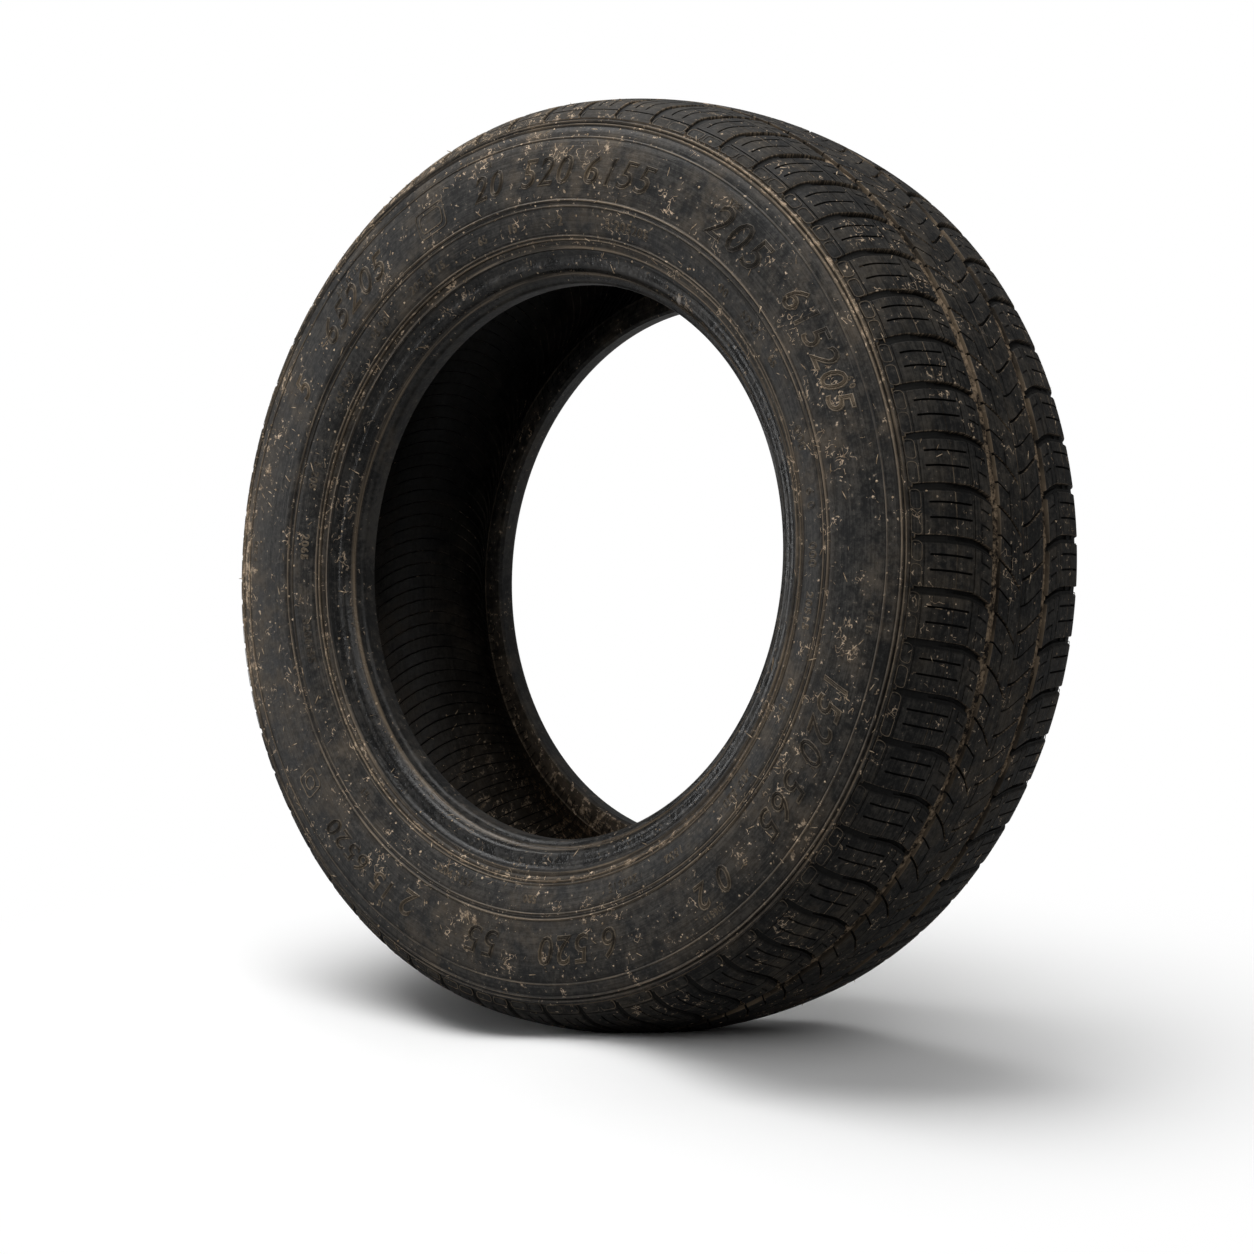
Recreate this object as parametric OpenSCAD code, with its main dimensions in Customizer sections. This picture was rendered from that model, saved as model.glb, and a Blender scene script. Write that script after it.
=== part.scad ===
// Old worn car tyre, standing on its tread
// The axle line is Y. The origin is the centre of the wheel, half way between the beads.

/* [Overall size] */
// Radius from the axle line to the middle of the tread
tread_r = 323.75; // [300:0.25:350]
// Width over both sidewalls
section_w = 204; // [185:1:225]
// Height of the sidewalls' widest part, as a share of the way from bead seat to tread
widest_share = 0.444; // [0.4:0.002:0.54]

/* [Tread] */
// Width of the tread between the outer edges of its shoulder blocks
tread_w = 140; // [125:1:155]
// Radius of the tread's arc from side to side
crown_r = 300; // [180:5:500]
// Distance of each main groove from the middle of the tread
main_groove_y = 28; // [20:0.5:36]
// Width of each main groove
main_groove_w = 7.5; // [3:0.5:10]
// Depth that is left of each main groove
main_groove_depth = 4; // [2:0.5:8]
// Number of cross grooves round each shoulder
pitch_count = 59; // [40:1:80]
// Width of a cross groove at the tread
cross_groove_w = 3.2; // [2:0.1:5]
// Depth that is left of each cross groove
cross_groove_depth = 4; // [2:0.5:7]
// Height at which the cross grooves run out, as a share of the way from bead seat to tread
cross_groove_end_share = 0.84; // [0.8:0.01:0.9]
// Lead of the far shoulder's cross grooves over the near shoulder's, as a share of a pitch
far_lead = 0.25; // [0:0.01:1]
// Turn of the whole tread pattern round the axle, in degrees
pattern_turn = -0.4; // [-6:0.1:6]

/* [Sidewall rings: heights are shares of the way from bead seat to tread] */
// Height of the bold double ring under the shoulder
shoulder_ring_share = 0.8; // [0.76:0.002:0.83]
// Height of the thin ring outside the lettering band
band_ring_share = 0.725; // [0.66:0.005:0.75]
// Height of the double ring inside the lettering band
inner_ring_share = 0.397; // [0.36:0.001:0.43]
// Height of the rim line, a double ring that sits above the wheel's flange
rim_ring_share = 0.19; // [0.16:0.002:0.23]
// Gap between the two lines of a double ring
ring_gap = 4; // [3:0.5:6]
// Height and half width of each line
ring_h = 0.7; // [0.4:0.1:1.2]

/* [Beads] */
// Radius of the bead seats, for a 15 inch wheel
seat_r = 189.4; // [185:0.1:195]
// Width over the heels of both beads
bead_w = 164; // [145:1:172]
// Width of each bead's foot, from heel to toe
foot_w = 16; // [12:0.5:20]
// Radius of each bead's heel
heel_r = 5; // [3:0.5:7]
// Slope of each bead's outer face towards the middle, in degrees
bead_slope = 35; // [0:1:50]
// Chamfer at each bead's toe
toe_chamfer = 2; // [1:0.5:4]

/* [Wall] */
// Thickness at the middle of the tread
crown_t = 14; // [11:0.5:18]
// Thickness of the sidewalls at their widest
sidewall_t = 7.5; // [5:0.5:11]

/* [Standing] */
// Depth of the flat that the tyre stands on
flat_depth = 2.5; // [1:0.1:4]

/* [Hidden] */
$fn = 96;

// Steps along one curve of the section, and along the tread's arc
curve_steps = 8;
arc_steps = 6;
// Room that a cutting shape needs beyond the surface it cuts
over = 6;
// Share of its chord by which a curve is pulled along its end directions
pull = 0.38;

function height_r(share) = seat_r + share * (tread_r - seat_r);

crown_centre_r = tread_r - crown_r;
widest_r = height_r(widest_share);
widest_z = section_w / 2;
pitch = 360 / pitch_count;
heel_z = bead_w / 2;
toe_z = heel_z - foot_w;
// Where the inner arc under the tread gives way to the sidewall's curve
belt_z = tread_w / 3;

// A point on an arc about the crown's centre, and the angle of its outward normal
function arc_point(radius, z) = [crown_centre_r + sqrt(radius * radius - z * z), z];
function arc_angle(radius, z) = asin(z / radius);
function arc(radius, z0, z1) =
    [for (i = [0:arc_steps]) arc_point(radius, z0 + (z1 - z0) * i / arc_steps)];

// A curve from a to b that leaves along from_dir and arrives along to_dir
function bend(a, from_dir, b, to_dir) =
    let (reach = pull * norm(b - a), c = a + reach * from_dir, d = b - reach * to_dir)
    [for (i = [1:curve_steps])
        let (t = i / curve_steps, u = 1 - t)
        u * u * u * a + 3 * u * u * t * c + 3 * u * t * t * d + t * t * t * b];

function heel_point(a) =
    [seat_r + heel_r * (1 - sin(a)), heel_z - heel_r * (1 - cos(a))];
function heel_arc() =
    [for (i = [1:3]) heel_point(bead_slope + (90 - bead_slope) * i / 3)];

inwards = [-1, 0];
outwards = [1, 0];
function along_arc(radius, z) =
    let (a = arc_angle(radius, z)) [-sin(a), cos(a)];

// Half of the section as points of radius and distance from the middle plane
tread_edge = arc_point(crown_r, tread_w / 2);
widest_point = [widest_r, widest_z];
toe_top = [seat_r + toe_chamfer, toe_z];
inner_widest = [widest_r, widest_z - sidewall_t];
liner_r = crown_r - crown_t;
belt_edge = arc_point(liner_r, belt_z);

outer_side = concat(
    [tread_edge],
    bend(tread_edge, along_arc(crown_r, tread_w / 2), widest_point, inwards),
    bend(widest_point, inwards, heel_point(bead_slope), [-cos(bead_slope), -sin(bead_slope)]));
inner_side = concat(
    [toe_top],
    bend(toe_top, outwards, inner_widest, outwards),
    bend(inner_widest, outwards, belt_edge, -along_arc(liner_r, belt_z)));
half_section = concat(
    arc(crown_r, 0, tread_w / 2),
    [for (i = [1:len(outer_side) - 1]) outer_side[i]],
    heel_arc(),
    [[seat_r, toe_z + toe_chamfer]],
    inner_side,
    [for (i = [1:arc_steps]) arc_point(liner_r, belt_z * (1 - i / arc_steps))]);

function sidewall_z(radius) = lookup(radius, outer_side);

module on_both_sides() {
    children();
    mirror([0, 1]) children();
}

// One raised line on the sidewall
module ring_line(radius) {
    translate([radius, sidewall_z(radius)]) circle(r = ring_h, $fn = 24);
}

module double_ring(radius) {
    ring_line(radius - ring_gap / 2);
    ring_line(radius + ring_gap / 2);
}

module main_groove() {
    floor_r = arc_point(crown_r, main_groove_y)[0] - main_groove_depth;
    translate([floor_r, main_groove_y - main_groove_w / 2])
        square([main_groove_depth + over, main_groove_w]);
}

module section() {
    difference() {
        union() {
            on_both_sides() {
                polygon(half_section);
                double_ring(height_r(shoulder_ring_share));
                ring_line(height_r(band_ring_share));
                double_ring(height_r(inner_ring_share));
                double_ring(height_r(rim_ring_share));
            }
        }
        on_both_sides() main_groove();
    }
}

// Outline of one cross groove, from the main groove out over the shoulder
module cross_groove_outline() {
    floor_arc_r = crown_r - cross_groove_depth;
    turn_z = tread_w / 2 - 2 * cross_groove_depth;
    polygon(concat(
        arc(floor_arc_r, main_groove_y, turn_z),
        [[height_r(cross_groove_end_share), widest_z],
         [tread_r + over, widest_z],
         [tread_r + over, main_groove_y]]));
}

module cross_grooves() {
    width_angle = 360 * cross_groove_w / (2 * PI * tread_r);
    for (i = [0:pitch_count - 1])
        rotate(i * pitch - width_angle / 2)
            rotate_extrude(angle = width_angle) cross_groove_outline();
}

module standing_flat() {
    size = 2 * tread_r;
    translate([-size / 2, -size / 2, -tread_r + flat_depth - size])
        cube([size, size, size]);
}

module tyre() {
    color("#2d2b28")
    difference() {
        rotate([90, 0, 0])
        difference() {
            rotate_extrude() section();
            rotate(pattern_turn) cross_grooves();
            rotate(pattern_turn + far_lead * pitch) mirror([0, 0, 1]) cross_grooves();
        }
        standing_flat();
    }
}

tyre();
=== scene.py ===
"""An old worn car tyre, standing on its tread on a pale studio floor.

The axle line is Y, the side that shows best looks towards -Y, and Z is up.
Lengths in the section are millimetres; meshes are made in metres.
"across" is the way round the outside of the section from the middle of the tread,
counted up towards the near bead (-Y) and down towards the far one.
"along" is the way round the tyre, counted as an arc at the tread's radius.
"""
import math

import bmesh
import bpy
import numpy as np
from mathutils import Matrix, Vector

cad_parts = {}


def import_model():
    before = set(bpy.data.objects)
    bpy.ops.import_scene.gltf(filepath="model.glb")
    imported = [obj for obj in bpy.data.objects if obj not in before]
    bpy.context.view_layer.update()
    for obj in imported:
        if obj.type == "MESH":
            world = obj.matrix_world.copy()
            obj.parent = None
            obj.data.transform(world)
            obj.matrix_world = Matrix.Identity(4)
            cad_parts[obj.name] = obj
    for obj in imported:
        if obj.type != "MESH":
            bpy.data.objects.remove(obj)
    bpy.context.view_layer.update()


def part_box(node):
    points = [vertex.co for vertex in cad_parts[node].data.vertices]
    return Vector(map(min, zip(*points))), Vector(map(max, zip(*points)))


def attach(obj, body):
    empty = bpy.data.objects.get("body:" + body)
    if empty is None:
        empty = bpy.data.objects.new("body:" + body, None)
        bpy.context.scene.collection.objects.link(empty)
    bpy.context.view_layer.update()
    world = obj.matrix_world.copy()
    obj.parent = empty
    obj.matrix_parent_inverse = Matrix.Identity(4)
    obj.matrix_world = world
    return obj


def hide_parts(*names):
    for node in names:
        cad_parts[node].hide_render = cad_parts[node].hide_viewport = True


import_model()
low_corner, high_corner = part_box("tyre")

MM = 0.001
DEGREE = math.pi / 180
CURVED_SURFACE_ANGLE = 32 * DEGREE

# ------------------------------
# Sizes of the section
# ------------------------------
TREAD_R = 323.75
SECTION_W = (high_corner.y - low_corner.y) / MM
FLOOR_Z = low_corner.z
WIDEST_R = 249
TREAD_W = 140
CROWN_R = 300
SEAT_R = 189.4
BEAD_W = 164
FOOT_W = 16
HEEL_R = 5
BEAD_SLOPE = 35 * DEGREE
TOE_CHAMFER = 2
CROWN_T = 14
SIDEWALL_T = 7.5
# Height of the solid's raised rings, which its box takes in at the widest part
RING_H = 0.7
# Share of its chord by which a curve is pulled along its end directions
PULL = 0.38

# Tread pattern: the grooves' places, how far below the tread the casing lies,
# where the blocks run out across, and how deep the tread bands are
PITCH_COUNT = 59
PITCH = 2 * math.pi * TREAD_R / PITCH_COUNT
PATTERN_TURN = -1.0 * DEGREE
FAR_LEAD = 0.25 * 2 * math.pi / PITCH_COUNT
GROOVE_MIDDLE = 28.1
GROOVE_HALF = 3.9
CARCASS_DROP = 6.4
SHOULDER_END = 97.2
PATCH_DEPTH = 8.5

CARCASS_SEGMENTS = 240


# ------------------------------
# The section: curves shared by every piece
# ------------------------------
def crown_point(radius, y):
    """A point (distance from the axle, distance from the middle plane) on a crown arc."""
    return np.array([TREAD_R - CROWN_R + math.sqrt(radius * radius - y * y), y])


def crown_heading(radius, y):
    angle = math.asin(y / radius)
    return np.array([-math.sin(angle), math.cos(angle)])


def bend(a, from_dir, b, to_dir, steps=48):
    """A curve from a to b that leaves along from_dir and arrives along to_dir."""
    reach = PULL * np.linalg.norm(b - a)
    c, d = a + reach * from_dir, b - reach * to_dir
    t = np.linspace(0, 1, steps + 1)[1:, None]
    u = 1 - t
    return u ** 3 * a + 3 * u * u * t * c + 3 * u * t * t * d + t ** 3 * b


INWARDS = np.array([-1.0, 0.0])
OUTWARDS = np.array([1.0, 0.0])
tread_edge = crown_point(CROWN_R, TREAD_W / 2)
widest = np.array([WIDEST_R, SECTION_W / 2 - RING_H])


def heel_point(angle):
    return np.array([SEAT_R + HEEL_R * (1 - math.sin(angle)),
                     BEAD_W / 2 - HEEL_R * (1 - math.cos(angle))])


heel_top = heel_point(BEAD_SLOPE)
heel_heading = np.array([-math.cos(BEAD_SLOPE), -math.sin(BEAD_SLOPE)])
toe_top = np.array([SEAT_R + TOE_CHAMFER, BEAD_W / 2 - FOOT_W])
inner_widest = widest - np.array([0, SIDEWALL_T])
LINER_R = CROWN_R - CROWN_T
belt_edge = crown_point(LINER_R, TREAD_W / 3)

outer_curve = np.vstack([
    [crown_point(CROWN_R, y) for y in np.linspace(0, TREAD_W / 2, 80)],
    bend(tread_edge, crown_heading(CROWN_R, TREAD_W / 2), widest, INWARDS),
    bend(widest, INWARDS, heel_top, heel_heading)])
inner_curve = np.vstack([
    [toe_top],
    bend(toe_top, OUTWARDS, inner_widest, OUTWARDS),
    bend(inner_widest, OUTWARDS, belt_edge, -crown_heading(LINER_R, TREAD_W / 3)),
    [crown_point(LINER_R, y) for y in np.linspace(TREAD_W / 3, 0, 24)[1:]]])


class Surface:
    """A curve of the half section, read by its length, with its outward normals."""

    def __init__(self, points, turn):
        steps = np.hypot(*np.diff(points, axis=0).T)
        self.length = np.concatenate([[0], np.cumsum(steps)])
        self.points = points
        heading = np.gradient(points, self.length, axis=0)
        heading /= np.linalg.norm(heading, axis=1)[:, None]
        self.normals = turn * np.stack([heading[:, 1], -heading[:, 0]], axis=1)
        self.end = self.length[-1]

    def at(self, distance, height):
        """(radius, y) at a distance along the curve, raised by height."""
        found = [np.interp(distance, self.length, column)
                 for column in (*self.points.T, *self.normals.T)]
        return found[0] + height * found[2], found[1] + height * found[3]

    def distance_at_radius(self, radius):
        """Where the part of the curve beyond the tread comes down to a radius."""
        return np.interp(-np.asarray(radius, float), -self.points[:, 0], self.length)


outside = Surface(outer_curve, 1)
inside = Surface(inner_curve, 1)


def uneven(angle, across):
    """Slow swelling and sagging of the old casing, in millimetres."""
    return (0.35 * np.sin(2 * angle + 0.7) * np.sin(across / 37)
            + 0.22 * np.sin(5 * angle + across / 23)
            + 0.12 * np.sin(11 * angle - across / 17 + 1.3))


def on_skin(across, angle, height=0.0):
    """Places in metres on the outside of the tyre."""
    across, angle = np.broadcast_arrays(np.asarray(across, float), np.asarray(angle, float))
    away = np.abs(across)
    settled = np.clip((away - 60) / 40, 0, 1)
    radius, y = outside.at(away, height + settled * uneven(angle, away))
    side = np.where(across >= 0, -1.0, 1.0)
    return MM * np.stack([radius * np.cos(angle), side * y, radius * np.sin(angle)], axis=-1)


def rest_on_floor(places):
    """The tread is pressed flat where the tyre stands."""
    places[..., 2] = np.maximum(places[..., 2], FLOOR_Z)
    return places


# ------------------------------
# Mesh helpers
# ------------------------------
def link(name, mesh):
    piece = bpy.data.objects.new(name, mesh)
    bpy.context.scene.collection.objects.link(piece)
    return piece


def set_values(mesh, name, values):
    layer = mesh.attributes.new(name, "FLOAT", "POINT")
    layer.data.foreach_set("value", np.asarray(values, np.float32).ravel())


def values_of(mesh, name):
    values = np.zeros(len(mesh.vertices), np.float32)
    mesh.attributes[name].data.foreach_get("value", values)
    return values


def places_of(mesh):
    places = np.zeros(len(mesh.vertices) * 3)
    mesh.vertices.foreach_get("co", places)
    return places.reshape(-1, 3)


def smooth(mesh, angle=CURVED_SURFACE_ANGLE):
    mesh.polygons.foreach_set("use_smooth", [True] * len(mesh.polygons))
    mesh.set_sharp_from_angle(angle=angle)


def grid_mesh(name, places, wrap_rows, wrap_columns, values=None, flip=False):
    """Quads over a grid of places, with its rows and columns joined end to end if asked."""
    rows, columns = places.shape[:2]
    index = np.arange(rows * columns).reshape(rows, columns)
    if wrap_rows:
        index = np.vstack([index, index[:1]])
    if wrap_columns:
        index = np.hstack([index, index[:, :1]])
    quads = np.stack([index[:-1, :-1], index[1:, :-1], index[1:, 1:], index[:-1, 1:]], axis=-1)
    quads = quads.reshape(-1, 4)
    if flip:
        quads = quads[:, ::-1]
    mesh = bpy.data.meshes.new(name)
    mesh.from_pydata(places.reshape(-1, 3).tolist(), [], quads.tolist())
    for key, value in (values or {}).items():
        set_values(mesh, key, value)
    return mesh


def face_outwards(mesh):
    """Turns every face of a closed mesh round if its volume comes out negative."""
    mesh.calc_loop_triangles()
    corners = np.zeros(len(mesh.loop_triangles) * 3, np.int32)
    mesh.loop_triangles.foreach_get("vertices", corners)
    a, b, c = places_of(mesh)[corners.reshape(-1, 3)].transpose(1, 0, 2)
    if np.einsum("ij,ij->", a, np.cross(b, c)) < 0:
        mesh.flip_normals()


def sorted_lines(values, smallest_gap=0.04):
    """The values in order, without any that lies too close to the one before."""
    kept = []
    for value in sorted(values):
        if not kept or value - kept[-1] > smallest_gap:
            kept.append(value)
    return np.array(kept)


def filled_in(values, widest_gap):
    """The same lines with more between any two that lie too far apart."""
    lines = []
    for a, b in zip(values[:-1], values[1:]):
        parts = max(1, math.ceil((b - a) / widest_gap))
        lines += [a + (b - a) * k / parts for k in range(parts)]
    return np.array(lines + [values[-1]])


# ------------------------------
# Node helpers
# ------------------------------
def wire(tree, value, target):
    """Links a socket to the target, or sets a plain value there."""
    if isinstance(value, bpy.types.NodeSocket):
        tree.links.new(value, target)
    else:
        target.default_value = value


def add_node(tree, kind, wires, settings):
    made = tree.nodes.new(kind)
    for key, value in settings.items():
        setattr(made, key, value)
    for socket, value in wires.items():
        wire(tree, value, made.inputs[socket])
    return made


class Tree:
    """A short way to write a Geometry Nodes tree."""

    def __init__(self, name, inputs):
        self.group = bpy.data.node_groups.new(name, "GeometryNodeTree")
        face = self.group.interface
        face.new_socket("Geometry", in_out="INPUT", socket_type="NodeSocketGeometry")
        self.keys = {}
        for label, (kind, value) in inputs.items():
            socket = face.new_socket(label, in_out="INPUT", socket_type="NodeSocket" + kind)
            if value is not None:
                socket.default_value = value
            self.keys[label] = socket.identifier
        face.new_socket("Geometry", in_out="OUTPUT", socket_type="NodeSocketGeometry")
        self.given = self.group.nodes.new("NodeGroupInput").outputs
        self.output = self.group.nodes.new("NodeGroupOutput")

    def node(self, kind, wires=None, **settings):
        return add_node(self.group, kind, wires or {}, settings)

    def finish(self, socket):
        self.group.links.new(socket, self.output.inputs[0])
        return self.group


def made_by_nodes(piece, tree, settings, name):
    """The piece after its Geometry Nodes, as a plain mesh under a new name."""
    modifier = piece.modifiers.new("nodes", "NODES")
    modifier.node_group = tree.group
    for label, value in settings.items():
        modifier[tree.keys[label]] = value
    graph = bpy.context.evaluated_depsgraph_get()
    mesh = bpy.data.meshes.new_from_object(piece.evaluated_get(graph))
    bpy.data.objects.remove(piece)
    mesh.name = name
    return mesh


def ring_tree():
    """Repeats one pitch round the axle and welds the copies into a ring."""
    tree = Tree("ring_of_pitches", {
        "Count": ("Int", PITCH_COUNT), "Start": ("Float", 0.0),
        "Weld": ("Float", 0.00002), "Material": ("Material", None)})
    points = tree.node("GeometryNodePoints", {"Count": tree.given["Count"]})
    index = tree.node("GeometryNodeInputIndex")
    step = tree.node("ShaderNodeMath", {0: 2 * math.pi, 1: tree.given["Count"]},
                     operation="DIVIDE")
    turn = tree.node("ShaderNodeMath", {0: index.outputs[0], 1: step.outputs[0],
                                        2: tree.given["Start"]},
                     operation="MULTIPLY_ADD")
    turned = tree.node("ShaderNodeCombineXYZ", {"Y": turn.outputs[0]})
    copies = tree.node("GeometryNodeInstanceOnPoints",
                       {"Points": points.outputs[0], "Instance": tree.given["Geometry"],
                        "Rotation": turned.outputs[0]})
    real = tree.node("GeometryNodeRealizeInstances", {"Geometry": copies.outputs[0]})
    weld = tree.node("GeometryNodeMergeByDistance",
                     {"Geometry": real.outputs[0], "Distance": tree.given["Weld"]})
    painted = tree.node("GeometryNodeSetMaterial",
                        {"Geometry": weld.outputs[0],
                         "Material": tree.given["Material"]})
    tree.finish(painted.outputs[0])
    return tree


def scatter_tree():
    """Strews flakes over a surface, thickest where its 'settled' value is high."""
    tree = Tree("strewn_flakes", {
        "Flake": ("Object", None), "Per square metre": ("Float", 1000.0),
        "Smallest": ("Float", 0.3), "Largest": ("Float", 1.0),
        "Seed": ("Int", 1), "Material": ("Material", None)})
    settled = tree.node("GeometryNodeInputNamedAttribute", {"Name": "settled"},
                        data_type="FLOAT")
    density = tree.node("ShaderNodeMath",
                        {0: settled.outputs[0], 1: tree.given["Per square metre"]},
                        operation="MULTIPLY")
    points = tree.node("GeometryNodeDistributePointsOnFaces",
                       {"Mesh": tree.given["Geometry"],
                        "Density": density.outputs[0], "Seed": tree.given["Seed"]})
    spin = tree.node("FunctionNodeRandomValue",
                     {"Max": (0, 0, 2 * math.pi), "Seed": tree.given["Seed"]},
                     data_type="FLOAT_VECTOR")
    turned = tree.node("FunctionNodeRotateEuler",
                       {0: points.outputs["Rotation"], 1: spin.outputs[0]},
                       rotation_type="EULER", space="LOCAL")
    roll = tree.node("FunctionNodeRandomValue", {"Seed": 7}, data_type="FLOAT")
    curve = tree.node("ShaderNodeMath", {0: roll.outputs[1], 1: 2.2}, operation="POWER")
    size = tree.node("ShaderNodeMapRange",
                     {"Value": curve.outputs[0], "To Min": tree.given["Smallest"],
                      "To Max": tree.given["Largest"]})
    flake = tree.node("GeometryNodeObjectInfo", {"Object": tree.given["Flake"]})
    copies = tree.node("GeometryNodeInstanceOnPoints",
                       {"Points": points.outputs[0], "Instance": flake.outputs["Geometry"],
                        "Rotation": turned.outputs[0], "Scale": size.outputs[0]})
    real = tree.node("GeometryNodeRealizeInstances", {"Geometry": copies.outputs[0]})
    painted = tree.node("GeometryNodeSetMaterial",
                        {"Geometry": real.outputs[0],
                         "Material": tree.given["Material"]})
    tree.finish(painted.outputs[0])
    return tree


# ------------------------------
# Materials
# ------------------------------
def linear(red, green, blue):
    """A display colour, 0 to 255, as the linear colour that a shader takes."""
    parts = [value / 255 for value in (red, green, blue)]
    return tuple([part / 12.92 if part <= 0.04045 else ((part + 0.055) / 1.055) ** 2.4
                  for part in parts] + [1.0])


class Finish:
    """A short way to write a node material on Object coordinates."""

    def __init__(self, name):
        self.material = bpy.data.materials.new(name)
        self.material.use_nodes = True
        self.tree = self.material.node_tree
        self.shader = self.tree.nodes["Principled BSDF"]
        self.place = self.tree.nodes.new("ShaderNodeTexCoord").outputs["Object"]

    def node(self, kind, wires=None, **settings):
        return add_node(self.tree, kind, wires or {}, settings)

    def noise(self, scale, detail=4.0, rough=0.55, place=None):
        return self.node("ShaderNodeTexNoise",
                         {"Vector": place or self.place, "Scale": scale, "Detail": detail,
                          "Roughness": rough}).outputs["Fac"]

    def ramp(self, value, low, high, out_low=0.0, out_high=1.0):
        return self.node("ShaderNodeMapRange",
                         {"Value": value, "From Min": low, "From Max": high,
                          "To Min": out_low, "To Max": out_high},
                         interpolation_type="SMOOTHSTEP").outputs[0]

    def math(self, operation, a, b=0.0, clamp=True):
        return self.node("ShaderNodeMath", {0: a, 1: b}, operation=operation,
                         use_clamp=clamp and operation in ("ADD", "SUBTRACT")).outputs[0]

    def mix(self, share, a, b):
        mixed = self.node("ShaderNodeMix", {"Factor": share, 6: a, 7: b}, data_type="RGBA")
        return mixed.outputs[2]

    def value(self, name):
        return self.node("ShaderNodeAttribute", attribute_name=name).outputs["Fac"]

    def bump(self, height, distance, strength):
        return self.node("ShaderNodeBump", {"Height": height, "Distance": distance,
                                            "Strength": strength}).outputs[0]

    def set(self, **sockets):
        for label, value in sockets.items():
            wire(self.tree, value, self.shader.inputs[label.replace("_", " ")])


def ring_streaks(f):
    """Fine lines that run round the tyre."""
    place = f.node("ShaderNodeSeparateXYZ", {0: f.place})
    round_it = f.node("ShaderNodeCombineXYZ", {0: f.value("across"), 1: place.outputs["X"],
                                               2: place.outputs["Z"]})
    round_it = f.node("ShaderNodeVectorMath", {0: round_it.outputs[0], 1: (0.8, 15, 15)},
                      operation="MULTIPLY")
    return f.noise(1.0, 3, 0.6, place=round_it.outputs[0])


def curled_scratches(f, some):
    """Short curls, where a noise crosses its middle value in some of many cells."""
    curls = None
    for scale, width, low in ((85, 0.0095, 0.955), (160, 0.017, 0.925)):
        off_middle = f.math("ABSOLUTE", f.math("ADD", f.noise(scale, 1.5, 0.5), -0.5, False))
        curl = f.math("MULTIPLY", f.ramp(off_middle, width, 0.35 * width),
                      f.ramp(some, low, low + 0.05))
        curls = curl if curls is None else f.math("MAXIMUM", curls, curl)
    return curls


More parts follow.
